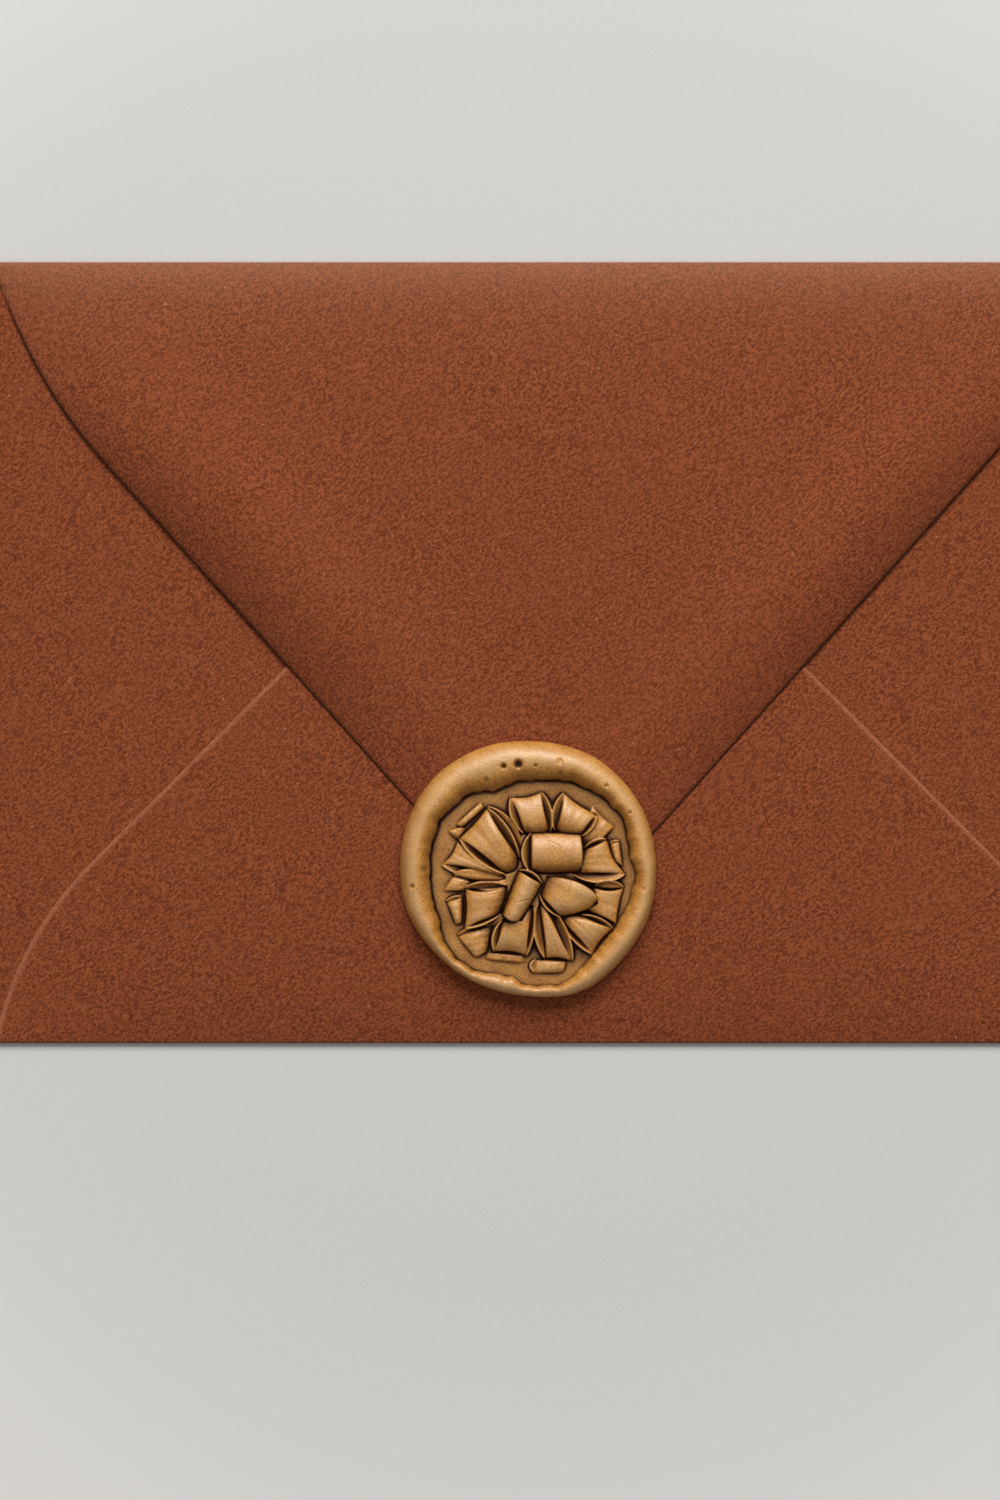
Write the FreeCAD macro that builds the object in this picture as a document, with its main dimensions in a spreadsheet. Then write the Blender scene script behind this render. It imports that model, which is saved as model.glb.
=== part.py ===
import FreeCAD, Part
import Sketcher
import math
import os
from FreeCAD import Vector

# A closed paper envelope that lies on its front, with a cast wax seal on its flap.
# Millimetres. +X runs along the envelope, +Y points at the fold of the long pointed
# flap, +Z is up. The origin is under the middle of the envelope, on the table.

doc = FreeCAD.newDocument("sealed_envelope")

# Driving sizes
SIZES = (
    ("envelope_length", 162.0, "fold to fold, left to right"),
    ("envelope_height", 114.0, "fold to fold, bottom to top"),
    ("paper", 0.25, "thickness of the felt-marked paper"),
    ("layer_gap", 0.10, "air between two layers of paper at the folds"),
    ("crown", 1.9, "how far the back bellies up in the middle"),
    ("corner_relief", 0.3, "how far each flap stops short of the corner"),
    ("top_flap_depth", 100.9, "top fold to the sharp point that the tip would have"),
    ("top_flap_spread", 9.9, "end of the flap to where its straight edge would meet the fold"),
    ("top_flap_tip", 8.0, "rounding of the point"),
    ("top_flap_shoulder", 77.0, "rounding where the straight edge leaves the fold"),
    ("bottom_flap_depth", 92.7, "bottom fold to its sharp point"),
    ("bottom_flap_spread", 11.8, "end of the flap to where its straight edge would meet the fold"),
    ("bottom_flap_tip", 20.0, "rounding of the hidden point"),
    ("bottom_flap_shoulder", 52.0, "rounding near the fold"),
    ("side_flap_depth", 60.3, "side fold to its sharp point"),
    ("side_flap_spread", 4.0, "end of the flap to where its straight edge would meet the fold"),
    ("side_flap_tip", 15.0, "rounding of the hidden point"),
    ("side_flap_shoulder", 30.0, "rounding near the fold"),
    ("seal_above_tip", 12.3, "middle of the wax above the point of the flap"),
    ("seal_aside", -2.6, "middle of the wax beside the middle of the flap"),
    ("seal_height", 3.4, "paper to the crest of the rim, over the flap"),
    ("stamp_radius", 14.7, "mean radius of the pressed face"),
    ("stamp_depth", 1.8, "crest of the rim to the pressed face"),
    ("stamp_aside", 0.8, "pressed face beside the middle of the wax"),
    ("stamp_lower", 1.8, "pressed face below the middle of the wax"),
    ("stamp_corner", 0.45, "how far the pressed face is squarer than a circle"),
    ("rim_width", 3.6, "mean width of the wax pushed out round the stamp"),
    ("rim_lean", 0.7, "how far the wax ran towards the upper left"),
    ("ribbon_edge", 0.45, "thickness of a ribbon's edge in the relief"),
    ("lip_roll", 1.5, "how far the rim rounds over above the pressed face"),
    ("loop_margin", 0.9, "longest loops to the edge of the pressed face"),
    ("heart_rise", 1.75, "height of the middle loops over the pressed face"),
    ("main_rise", 1.25, "height of the ring of main loops"),
    ("under_rise", 0.8, "height of the loops that lie under the others"),
)

sheet = doc.addObject("Spreadsheet::Sheet", "Sizes")
for row, (alias, value, meaning) in enumerate(SIZES, start=1):
    sheet.set("A%d" % row, meaning)
    sheet.set("B%d" % row, str(value))
    sheet.setAlias("B%d" % row, alias)
doc.recompute()


def size(alias):
    """The number in the sheet's cell of that alias."""
    return float(getattr(sheet, alias))


PAPER = size("paper")


def fold_text(layer):
    """The radius of the fold under that layer, as an expression on the sheet."""
    return "((%d * (Sizes.paper + Sizes.layer_gap) + Sizes.paper) / 2)" % layer


def level_of(layer):
    """Height of the underside of a layer at the folds. The front is layer 0."""
    return layer * (PAPER + size("layer_gap"))


def fold_of(layer):
    """A fold is half a tube that is as high as the layers it wraps."""
    return (level_of(layer) + PAPER) / 2


# The order of folding: the front, both side flaps, the bottom flap glued on them,
# and the long top flap over all.
SIDE, BOTTOM, TOP = 1, 2, 3

# The flat of the front ends where the folds start to turn.
half_x = size("envelope_length") / 2 - fold_of(SIDE)
low_y = fold_of(BOTTOM) - size("envelope_height") / 2
high_y = size("envelope_height") / 2 - fold_of(TOP)
mid_y = (low_y + high_y) / 2
half_y = (high_y - low_y) / 2


def add(kind, name, **properties):
    """A document object with its label and the properties given."""
    thing = doc.addObject(kind, name)
    thing.Label = name
    for key, value in properties.items():
        setattr(thing, key, value)
    return thing


def bind(thing, expressions):
    """Tie properties of an object to the sheet."""
    for key, expression in expressions.items():
        thing.setExpression(key, expression)


# The back of the envelope bellies up: steeply beside the folds, and flatter inside
def belly(x, y):
    """Height of the belly: crown * (1 - X^4) * (1 - Y^4), and zero along the folds."""
    across = (x / half_x) ** 4
    along = ((y - mid_y) / half_y) ** 4
    return size("crown") * (1 - across) * (1 - along)


# What each of the five poles of a curve of degree 4 adds to draw 1 - X^4
POLE_LIFTS = (0, 2, 0, 2, 0)


def bellied_slab(name, level, thickness):
    """
    A slab over the whole front whose two faces follow the belly. One patch of 5 x 5
    evenly spread poles holds the formula exactly.
    """
    patch = Part.BezierSurface()
    patch.increase(4, 4)
    for i, lift_across in enumerate(POLE_LIFTS):
        for j, lift_along in enumerate(POLE_LIFTS):
            lift = size("crown") * lift_across * lift_along
            x = (i / 2 - 1) * half_x
            y = mid_y + (j / 2 - 1) * half_y
            patch.setPole(i + 1, j + 1, Vector(x, y, level + lift))
    return add("Part::Feature", name, Shape=patch.toShape().extrude(Vector(0, 0, thickness)))


# Flaps. Each has its own frame at the middle of its fold, with +Y pointing outwards.
PLACES = {
    "top_flap": (TOP, 0, "0", "Sizes.envelope_height / 2 - " + fold_text(TOP)),
    "bottom_flap": (BOTTOM, 180, "0", fold_text(BOTTOM) + " - Sizes.envelope_height / 2"),
    "right_flap": (SIDE, -90, "Sizes.envelope_length / 2 - " + fold_text(SIDE),
                   "(%s - %s) / 2" % (fold_text(BOTTOM), fold_text(TOP))),
    "left_flap": (SIDE, 90, fold_text(SIDE) + " - Sizes.envelope_length / 2",
                  "(%s - %s) / 2" % (fold_text(BOTTOM), fold_text(TOP))),
}
FOLD_MIDDLES = {
    "top_flap": Vector(0, high_y, 0),
    "bottom_flap": Vector(0, low_y, 0),
    "right_flap": Vector(half_x, mid_y, 0),
    "left_flap": Vector(-half_x, mid_y, 0),
}


def half_fold_text(layer):
    """Half of the length of a fold between the cut corners, as an expression."""
    if layer == SIDE:
        span = "(Sizes.envelope_height - %s - %s) / 2" % (fold_text(BOTTOM), fold_text(TOP))
    else:
        span = "Sizes.envelope_length / 2 - " + fold_text(SIDE)
    return span + " - Sizes.corner_relief"


def flap_outline(name, stem):
    """
    The outline of a flap: its fold, two arcs that leave the fold, two straight edges
    that would meet in a sharp point, and the arc that rounds it. A straight edge,
    drawn on, meets the line of the fold beyond the end of the flap.
    """
    layer, turn, x_text, y_text = PLACES[name]
    half_fold = (half_y if layer == SIDE else half_x) - size("corner_relief")
    depth = size(stem + "_depth") - fold_of(layer)
    angle = math.atan2(half_fold + size(stem + "_spread"), depth)
    tip = size(stem + "_tip")
    shoulder = size(stem + "_shoulder")

    # Outward normal of the right edge, and the way along it to the point.
    normal = Vector(math.cos(angle), -math.sin(angle), 0)
    along = Vector(-math.sin(angle), -math.cos(angle), 0)
    right_end = Vector(half_fold, 0, 0)
    inset = depth * math.sin(angle) - half_fold * math.cos(angle)
    reach = math.sqrt(inset * (2 * shoulder - inset))
    leave = right_end + normal * inset + along * reach
    shoulder_middle = leave - normal * shoulder
    tip_middle = Vector(0, tip / math.sin(angle) - depth, 0)
    tip_start = tip_middle + normal * tip

    def mirrored(point):
        return Vector(-point.x, point.y, point.z)

    def bow(middle, radius, start, end):
        circle = Part.Circle(middle, Vector(0, 0, 1), radius)
        return Part.ArcOfCircle(circle, circle.parameter(start), circle.parameter(end))

    sketch = add("Sketcher::SketchObject", name + "_outline")
    fold, right_bow, right_edge, point, left_edge, left_bow = range(6)
    sketch.addGeometry([
        Part.LineSegment(mirrored(right_end), right_end),
        bow(shoulder_middle, shoulder, leave, right_end),
        Part.LineSegment(leave, tip_start),
        bow(tip_middle, tip, mirrored(tip_start), tip_start),
        Part.LineSegment(mirrored(tip_start), mirrored(leave)),
        bow(mirrored(shoulder_middle), shoulder, mirrored(right_end), mirrored(leave)),
    ])
    start, end, middle = 1, 2, 3
    origin, upright = -1, -2
    for rule in (
        ("Coincident", fold, end, right_bow, end),
        ("Tangent", right_bow, start, right_edge, start),
        ("Tangent", right_edge, end, point, end),
        ("Tangent", point, start, left_edge, start),
        ("Tangent", left_edge, end, left_bow, end),
        ("Coincident", left_bow, start, fold, start),
        ("Horizontal", fold),
        ("Symmetric", fold, start, fold, end, origin, start),
        ("PointOnObject", point, middle, upright),
        ("Equal", right_bow, left_bow),
        ("Equal", right_edge, left_edge),
    ):
        sketch.addConstraint(Sketcher.Constraint(*rule))

    sizes = "Sizes." + stem
    depth_text = "(%s_depth - %s)" % (sizes, fold_text(layer))
    across_text = "(%s + %s_spread)" % (half_fold_text(layer), sizes)
    angle_text = "(atan(%s / %s) / 1deg)" % (across_text, depth_text)
    for label, rule, expression in (
        ("fold_length", ("DistanceX", fold, start, fold, end, 2 * half_fold),
         "2 * (%s)" % half_fold_text(layer)),
        ("shoulder", ("Radius", right_bow, shoulder), sizes + "_shoulder"),
        ("tip", ("Radius", point, tip), sizes + "_tip"),
        ("reach", ("DistanceY", point, middle, origin, start, -tip_middle.y),
         "%s - %s_tip / sin(%s)" % (depth_text, sizes, angle_text)),
        ("lean", ("Angle", right_edge, math.radians(-90) - angle), "-90 - " + angle_text),
    ):
        number = sketch.addConstraint(Sketcher.Constraint(*rule))
        sketch.renameConstraint(number, label)
        sketch.setExpression("Constraints." + label, expression)
    facing = FreeCAD.Rotation(Vector(0, 0, 1), turn)
    sketch.Placement = FreeCAD.Placement(FOLD_MIDDLES[name], facing)
    bind(sketch, {"Placement.Base.x": x_text, "Placement.Base.y": y_text})
    return sketch


def flap_prism(name, stem):
    """The flap's outline, drawn up through every layer."""
    prism = add("Part::Extrusion", name + "_prism", Base=flap_outline(name, stem), Solid=True)
    prism.DirMode = "Custom"
    prism.Dir = Vector(0, 0, 1)
    bind(prism, {"LengthFwd": "4 * %s + Sizes.crown" % fold_text(TOP)})
    return prism


def fold_tube(name):
    """Half a tube of paper round the fold: a half cylinder less the air inside it."""
    layer, turn, x_text, y_text = PLACES[name]
    # Local Z of the cylinder runs along the fold, and its kept half faces outwards.
    upright = FreeCAD.Rotation(Vector(0, 0, -1), Vector(0, 1, 0), Vector(1, 0, 0), "ZXY")
    facing = FreeCAD.Rotation(Vector(0, 0, 1), turn) * upright
    half_fold = (half_y if layer == SIDE else half_x) - size("corner_relief")
    start = FOLD_MIDDLES[name] - facing.multVec(Vector(0, 0, half_fold))
    start.z = fold_of(layer)
    skins = []
    for skin, inset in (("outside", "0"), ("inside", "Sizes.paper")):
        tube = add("Part::Cylinder", "%s_fold_%s" % (name, skin))
        bind(tube, {
            "Radius": "%s - %s" % (fold_text(layer), inset),
            "Height": "2 * (%s)" % half_fold_text(layer),
            "Angle": "180",
        })
        tube.Placement = FreeCAD.Placement(start, facing)
        skins.append(tube)
    return add("Part::Cut", name + "_fold", Base=skins[0], Tool=skins[1])


def folded_envelope():
    """The whole sheet as one solid: its front, four folds and four flaps."""
    front = add("Part::Box", "front")
    bind(front, {
        "Length": "Sizes.envelope_length - 2 * " + fold_text(SIDE),
        "Width": "Sizes.envelope_height - %s - %s" % (fold_text(BOTTOM), fold_text(TOP)),
        "Height": "Sizes.paper",
        "Placement.Base.x": "%s - Sizes.envelope_length / 2" % fold_text(SIDE),
        "Placement.Base.y": "%s - Sizes.envelope_height / 2" % fold_text(BOTTOM),
    })
    layers = {
        layer: bellied_slab("layer_%d" % layer, level_of(layer), PAPER)
        for layer in (SIDE, BOTTOM, TOP)
    }
    pieces = [front]
    prisms = {}
    for name in PLACES:
        stem = "side_flap" if name in ("left_flap", "right_flap") else name
        prisms[name] = flap_prism(name, stem)
        layer = PLACES[name][0]
        flap = add("Part::MultiCommon", name, Shapes=[layers[layer], prisms[name]])
        pieces += [fold_tube(name), flap]
    return add("Part::MultiFuse", "envelope_sheet", Shapes=pieces, Refine=True), prisms


# The wax. Its middle is set out from the point of the top flap.
seal_x = size("seal_aside")
seal_y = size("envelope_height") / 2 - size("top_flap_depth") + size("seal_above_tip")
paper_top = level_of(TOP) + PAPER + belly(seal_x, seal_y)
crest = paper_top + size("seal_height")
floor = crest - size("stamp_depth")
stamp_middle = Vector(seal_x + size("stamp_aside"), seal_y - size("stamp_lower"), 0)


# Points on a closed edge, the slopes where the flank is drawn, and the bearings
# that the wax ran to and that the pressed face bulges to.
RING_POINTS = 24
FLANK_DEGREES = (-50, -20, 8, 32, 54, 74)
LEAN_ANGLE = math.radians(110)
CORNER_ANGLE = math.radians(45)


def ring_wire(middle, height, radius_at):
    """A closed smooth curve at that height, with radius_at giving radius by angle."""
    points = []
    for step in range(RING_POINTS):
        angle = 2 * math.pi * step / RING_POINTS
        radius = radius_at(angle)
        x = middle.x + radius * math.cos(angle)
        y = middle.y + radius * math.sin(angle)
        points.append(Vector(x, y, height))
    curve = Part.BSplineCurve()
    curve.interpolate(points, PeriodicFlag=True)
    return Part.Wire(curve.toShape())


def pool_radius(angle):
    """Outer edge of the wax: a circle that ran a little to the upper left."""
    mean = size("stamp_radius") + size("rim_width")
    wave = 0.2 * size("rim_lean") * math.cos(3 * angle + CORNER_ANGLE)
    return mean + size("rim_lean") * math.cos(angle - LEAN_ANGLE) + wave


def stamp_edge(angle):
    """Edge of the pressed face: a circle drawn out towards four soft corners."""
    corners = math.cos(4 * (angle - CORNER_ANGLE))
    ripple = 0.3 * math.cos(9 * angle)
    return size("stamp_radius") + size("stamp_corner") * (corners + ripple)


def wax_blank():
    """
    The pool of wax before the stamp. Its flank is an ellipse: from the waist, where
    it is widest, up to the crest and down under the swell to the paper.
    """
    waist = paper_top + 0.27 * size("seal_height")
    rise = (crest - waist) / math.sin(math.radians(FLANK_DEGREES[-1]))
    roll = 0.65 * size("rim_width")
    middle = Vector(seal_x, seal_y, 0)
    wires = []
    for degrees in FLANK_DEGREES:
        lean = math.radians(degrees)
        height = waist + rise * math.sin(lean)
        inset = roll * (1 - math.cos(lean))
        wires.append(ring_wire(middle, height, lambda a: pool_radius(a) - inset))
        if len(wires) == 1:
            foot = level_of(BOTTOM)
            wires.insert(0, ring_wire(middle, foot, lambda a: pool_radius(a) - inset))
    return add("Part::Feature", "wax_blank", Shape=Part.makeLoft(wires, True, True))


# The wall round the pressed face, from its floor to over the crest: height as a part
# of the stamp's depth, and how far it has rounded outwards as a part of the roll.
LIP_RINGS = ((0.0, 0.0), (0.5, 0.2), (0.85, 0.6), (1.2, 1.4))


def stamp_pocket():
    """What the stamp pushed out: its wavy outline, with walls that round over outwards."""
    wires = []
    for rise, roll in LIP_RINGS:
        height = floor + rise * size("stamp_depth")
        wires.append(ring_wire(stamp_middle, height, lambda a: stamp_edge(a) + roll * size("lip_roll")))
    return add("Part::Feature", "stamp_pocket", Shape=Part.makeLoft(wires, True, True))


# The pressed picture is a gathered ribbon bow seen from above. A loop is a strip
# that arches out from the heart of the bow and back under itself, so it shows its
# arched band and, at each side, the lens-shaped opening between its two edges.
# Columns: name, bearing and distance of its middle from the heart, bearing of the
# arch, length of the arch, width at its root and at its end, tier, open sides.
LEFT, RIGHT = 1, -1
LOOPS = (
    ("under_upper_right", 43, 11.9, 53, 4.6, 3.4, 4.6, "under_rise", ()),
    ("under_right", 22, 12.3, 10, 3.0, 3.4, 3.8, "under_rise", ()),
    ("under_bottom", -81, 12.1, -85, 2.4, 5.4, 5.6, "under_rise", ()),
    ("under_lower", -111, 11.2, -100, 2.2, 5.0, 5.6, "under_rise", ()),
    ("under_lower_left", -136, 12.0, -150, 4.2, 3.6, 4.4, "under_rise", (RIGHT,)),
    ("under_left", -172, 11.8, 180, 3.4, 3.2, 4.4, "under_rise", (RIGHT,)),
    ("under_upper_left", 133, 12.6, 133, 2.8, 4.4, 4.6, "under_rise", ()),
    ("upper", 91, 9.9, 106, 6.0, 3.4, 4.5, "main_rise", (LEFT, RIGHT)),
    ("upper_right", 59, 10.6, 66, 5.6, 3.4, 5.6, "main_rise", (LEFT, RIGHT)),
    ("right", 21, 9.7, 8, 6.0, 3.2, 5.6, "main_rise", (LEFT, RIGHT)),
    ("right_low", -15, 10.9, -10, 4.4, 3.2, 4.6, "main_rise", (LEFT,)),
    ("lower_right", -41, 10.0, -38, 6.2, 2.8, 4.5, "main_rise", (LEFT, RIGHT)),
    ("lower_middle", -69, 7.6, -72, 8.6, 1.6, 4.6, "main_rise", (LEFT, RIGHT)),
    ("lower", -109, 8.0, -102, 6.0, 4.0, 4.8, "main_rise", (LEFT, RIGHT)),
    ("lower_left", -159, 7.7, -167, 6.4, 4.0, 5.8, "main_rise", (LEFT, RIGHT)),
    ("left", 161, 8.7, 158, 8.4, 1.4, 4.2, "main_rise", (LEFT, RIGHT)),
    ("upper_left", 136, 8.2, 132, 8.6, 3.0, 5.8, "main_rise", (LEFT, RIGHT)),
    ("heart_right", -22, 5.0, -41, 5.9, 4.5, 5.9, "heart_rise", (RIGHT,)),
    ("heart_left", -133, 2.5, -30, 4.1, 6.2, 6.4, "heart_rise", ()),
    ("heart_upper", 53, 5.5, 90, 6.1, 7.3, 7.3, "heart_rise", (LEFT,)),
)


def lens_face(root, end, outward, bulge, height):
    """A flat face between the straight line root-end and an arc that bows outward."""
    top = (root + end) / 2 + outward * bulge
    lift = Vector(0, 0, height)
    arc = Part.Arc(root + lift, top + lift, end + lift).toShape()
    line = Part.LineSegment(end + lift, root + lift).toShape()
    return Part.Face(Part.Wire([arc, line]))


def ribbon_loop(length, root_width, end_width, rise, sides):
    """
    One loop about its own middle, arching along +X, with its base a little under the
    pressed face. The band is an arched bar cut to a tapered plan, and it still stands
    up at both ends, where the ribbon turns under. An open side adds a lens-shaped lip,
    and a smaller lens is cut down inside it.
    """
    sunk = 0.15
    edge = size("ribbon_edge")
    half = length / 2
    widest = 2 * max(root_width, end_width)
    turn = 0.4 * rise
    start, end = Vector(-half, 0, turn), Vector(half, 0, turn)
    arch = Part.Arc(start, Vector(0, 0, rise), end).toShape()
    foot = [end, Vector(half, 0, -sunk), Vector(-half, 0, -sunk), start]
    side = Part.Face(Part.Wire([arch] + Part.makePolygon(foot).Edges))
    side.translate(Vector(0, -widest / 2, 0))
    bar = side.extrude(Vector(0, widest, 0))
    root_half, end_half = root_width / 2, end_width / 2
    corners = [
        Vector(-half, -root_half, -sunk), Vector(half, -end_half, -sunk),
        Vector(half, end_half, -sunk), Vector(-half, root_half, -sunk),
    ]
    plan = Part.Face(Part.makePolygon(corners + corners[:1]))
    loop = bar.common(plan.extrude(Vector(0, 0, rise + sunk)))
    for hand in sides:
        root = Vector(edge - half, hand * root_half, 0)
        tip = Vector(half - edge / 2, hand * end_half, 0)
        along = (tip - root).normalize()
        outward = Vector(-hand * along.y, hand * along.x, 0)
        bulge = 2.8 * edge
        lip_height = 0.6 * rise
        lip = lens_face(root, tip, outward, bulge, -sunk).extrude(Vector(0, 0, lip_height + sunk))
        hollow_root = root + along * 2 * edge
        hollow_tip = tip - along * 2 * edge
        hollow = lens_face(hollow_root, hollow_tip, outward, bulge - edge, 0.25 * rise)
        loop = loop.fuse(lip.cut(hollow.extrude(Vector(0, 0, rise))))
    return loop


def bow_relief():
    """All the loops about the heart of the bow, drawn to the stamp, fused where they cross."""
    longest = max(distance + length / 2 for _, _, distance, _, length, *_ in LOOPS)
    scale = (size("stamp_radius") - size("loop_margin")) / longest
    loops = []
    for number, row in enumerate(LOOPS):
        name, bearing, distance, arch, length, root_width, end_width, tier, sides = row
        # No two neighbours are quite as high.
        rise = size(tier) * (1 - 0.04 * (number % 4))
        spans = (length * scale, root_width * scale, end_width * scale)
        loop = add("Part::Feature", "loop_" + name, Shape=ribbon_loop(*spans, rise, sides))
        out = distance * scale
        x = stamp_middle.x + out * math.cos(math.radians(bearing))
        y = stamp_middle.y + out * math.sin(math.radians(bearing))
        turned = FreeCAD.Rotation(Vector(0, 0, 1), arch)
        loop.Placement = FreeCAD.Placement(Vector(x, y, floor), turned)
        loops.append(loop)
    return add("Part::MultiFuse", "bow_relief", Shapes=loops)


def wax_seal(prisms):
    """The blank, pressed, with the bow standing on the pressed face, seated on the paper."""
    pressed = add("Part::Cut", "pressed_wax", Base=wax_blank(), Tool=stamp_pocket())
    stamped = add("Part::Fuse", "stamped_wax", Base=pressed, Tool=bow_relief())
    below = -size("seal_height")
    under_flap = add("Part::MultiCommon", "flap_seat", Shapes=[
        bellied_slab("flap_top", below, level_of(TOP) + PAPER - below), prisms["top_flap"]])
    under_back = bellied_slab("back_top", below, level_of(BOTTOM) + PAPER - below)
    seat = add("Part::Fuse", "seal_seat", Base=under_flap, Tool=under_back)
    return add("Part::Cut", "wax_seal", Base=stamped, Tool=seat)


envelope, flap_prisms = folded_envelope()
seal = wax_seal(flap_prisms)
doc.recompute()

for thing in doc.Objects:
    if "Invalid" in thing.State or "Error" in thing.State:
        raise RuntimeError("%s did not recompute: %s" % (thing.Label, thing.State))

os.makedirs("parts", exist_ok=True)
for node in (envelope, seal):
    shape = node.Shape
    if shape.isNull() or not shape.isValid() or len(shape.Solids) != 1:
        raise RuntimeError("%s is not one valid solid" % node.Label)
    shape.exportStep("parts/%s.step" % node.Label)
    print(node.Label, "volume %.1f mm3" % shape.Volume, "faces %d" % len(shape.Faces), shape.BoundBox)
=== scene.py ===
# %% [markdown]
# # A paper envelope closed with gold wax
# The real thing is one sheet of thick terracotta paper, folded in on its four
# sides, and one pool of gold wax pressed with a bow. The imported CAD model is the
# fixed frame: it says where both are and how big. Here every visible surface is
# worked out again with numpy, finely enough to show how the paper swells, how
# its edges bend and what the stamp left in the wax.

# %% Load the frame
import math

import bpy
import numpy as np
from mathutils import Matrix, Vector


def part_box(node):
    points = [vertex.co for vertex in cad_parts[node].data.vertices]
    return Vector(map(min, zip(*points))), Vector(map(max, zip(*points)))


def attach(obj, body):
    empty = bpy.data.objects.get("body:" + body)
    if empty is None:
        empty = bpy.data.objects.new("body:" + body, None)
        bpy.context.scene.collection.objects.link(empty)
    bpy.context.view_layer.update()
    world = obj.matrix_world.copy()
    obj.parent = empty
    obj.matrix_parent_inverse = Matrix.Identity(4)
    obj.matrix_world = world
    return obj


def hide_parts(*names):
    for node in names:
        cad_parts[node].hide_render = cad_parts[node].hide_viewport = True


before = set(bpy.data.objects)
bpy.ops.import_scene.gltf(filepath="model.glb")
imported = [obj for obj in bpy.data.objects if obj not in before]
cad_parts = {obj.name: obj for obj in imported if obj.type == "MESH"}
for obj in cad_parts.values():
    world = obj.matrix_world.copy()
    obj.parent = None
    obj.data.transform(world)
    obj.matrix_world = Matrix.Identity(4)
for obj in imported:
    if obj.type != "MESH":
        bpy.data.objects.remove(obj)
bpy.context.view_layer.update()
print("frame holds", sorted(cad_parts))

# %% [markdown]
# ## Working sizes
# All shapes below are worked out in millimetres and turned into metres when they
# become a mesh. The outer sizes come from the frame. What the frame can't say,
# such as the thickness of the paper, is named here once. Layers are counted from
# the table up: the front is 0, the side flaps 1, the bottom flap 2, the top flap 3.

# %% Sizes of the envelope
MM = 0.001

sheet_low, sheet_high = (np.array(corner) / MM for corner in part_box("envelope_sheet"))
wax_low, wax_high = (np.array(corner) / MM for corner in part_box("wax_seal"))
length, height = sheet_high[0] - sheet_low[0], sheet_high[1] - sheet_low[1]

PAPER = 0.25
LAYER_GAP = 0.10
CORNER_RELIEF = 0.3
SIDE, BOTTOM, TOP = 1, 2, 3


def level_of(layer):
    """Height of a layer's underside at the folds."""
    return layer * (PAPER + LAYER_GAP)


def fold_of(layer):
    """Radius of the fold that wraps that many layers."""
    return (level_of(layer) + PAPER) / 2


half_x = length / 2 - fold_of(SIDE)
low_y = fold_of(BOTTOM) - height / 2
high_y = height / 2 - fold_of(TOP)
mid_y, half_y = (low_y + high_y) / 2, (high_y - low_y) / 2
crown = sheet_high[2] - level_of(TOP) - PAPER
print("envelope", round(length, 1), "by", round(height, 1), "mm, crown", round(crown, 2), "mm")

# %% [markdown]
# ## Meshes from arrays
# A surface is a grid of points. Small helpers number its faces, its border and a
# flat end. The last one makes a mesh object that sits at the origin, so that a
# pattern in its material stays put when the object moves.

# %% Mesh helpers


def grid_faces(rows, columns, wrap=False):
    """Quads of a grid whose point (i, j) has the number i * columns + j."""
    i = np.arange(rows - 1)[:, None]
    j = np.arange(columns if wrap else columns - 1)[None, :]
    right = (j + 1) % columns
    quads = np.stack([i * columns + j, (i + 1) * columns + j,
                      (i + 1) * columns + right, i * columns + right], axis=-1)
    return quads.reshape(-1, 4)


def fan_faces(ring, centre, flip=False):
    """Triangles from each side of a closed ring of points to one centre point."""
    ring = np.asarray(ring)
    following = np.roll(ring, -1)
    middle = np.full_like(ring, centre)
    order = (following, ring, middle) if flip else (ring, following, middle)
    return np.stack(order, axis=-1)


def border(rows, columns):
    """Numbers of the points round the border of a grid, in order."""
    numbers = np.arange(rows * columns).reshape(rows, columns)
    return np.concatenate([numbers[0, :-1], numbers[:-1, -1], numbers[-1, :0:-1], numbers[:0:-1, 0]])


def add_object(name, data):
    """Put an object with this mesh, lamp or camera into the scene."""
    thing = bpy.data.objects.new(name, data)
    bpy.context.scene.collection.objects.link(thing)
    return thing


def make_piece(name, points, faces, material, tints=None):
    """
    A smooth shaded object from points in mm and a list of face arrays. Tints are
    numbers for every point, by name, which the material can read.
    """
    mesh = bpy.data.meshes.new(name)
    points = np.asarray(points, float).reshape(-1, 3) * MM
    corners = np.concatenate([f.ravel() for f in faces]).astype(np.int32)
    sides = np.concatenate([np.full(len(f), f.shape[1]) for f in faces])
    starts = np.concatenate([[0], np.cumsum(sides)[:-1]]).astype(np.int32)
    mesh.vertices.add(len(points))
    mesh.vertices.foreach_set("co", points.astype(np.float32).ravel())
    mesh.loops.add(len(corners))
    mesh.loops.foreach_set("vertex_index", corners)
    mesh.polygons.add(len(sides))
    mesh.polygons.foreach_set("loop_start", starts)
    mesh.update(calc_edges=True)
    mesh.validate()
    mesh.shade_smooth()
    for tint, values in (tints or {}).items():
        layer = mesh.attributes.new(tint, "FLOAT", "POINT")
        layer.data.foreach_set("value", np.asarray(values, np.float32).ravel())
    mesh.materials.append(material)
    print(name, len(points), "points", int((sides - 2).sum()), "triangles")
    return add_object(name, mesh)


# %% [markdown]
# ## Materials as expressions
# A material is a small calculation. The class below wraps a socket, so that
# `1 - mask` or `grain * 0.5` adds the Math nodes it stands for. Any other node is
# made by one method that takes its type, its settings and its inputs.

# %% A wrapped socket and a material builder
# Places of a Mix node's factor, its two colours and its mixed colour.
MIX_FACTOR, MIX_FIRST, MIX_SECOND, MIX_RESULT = 0, 6, 7, 2


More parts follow.
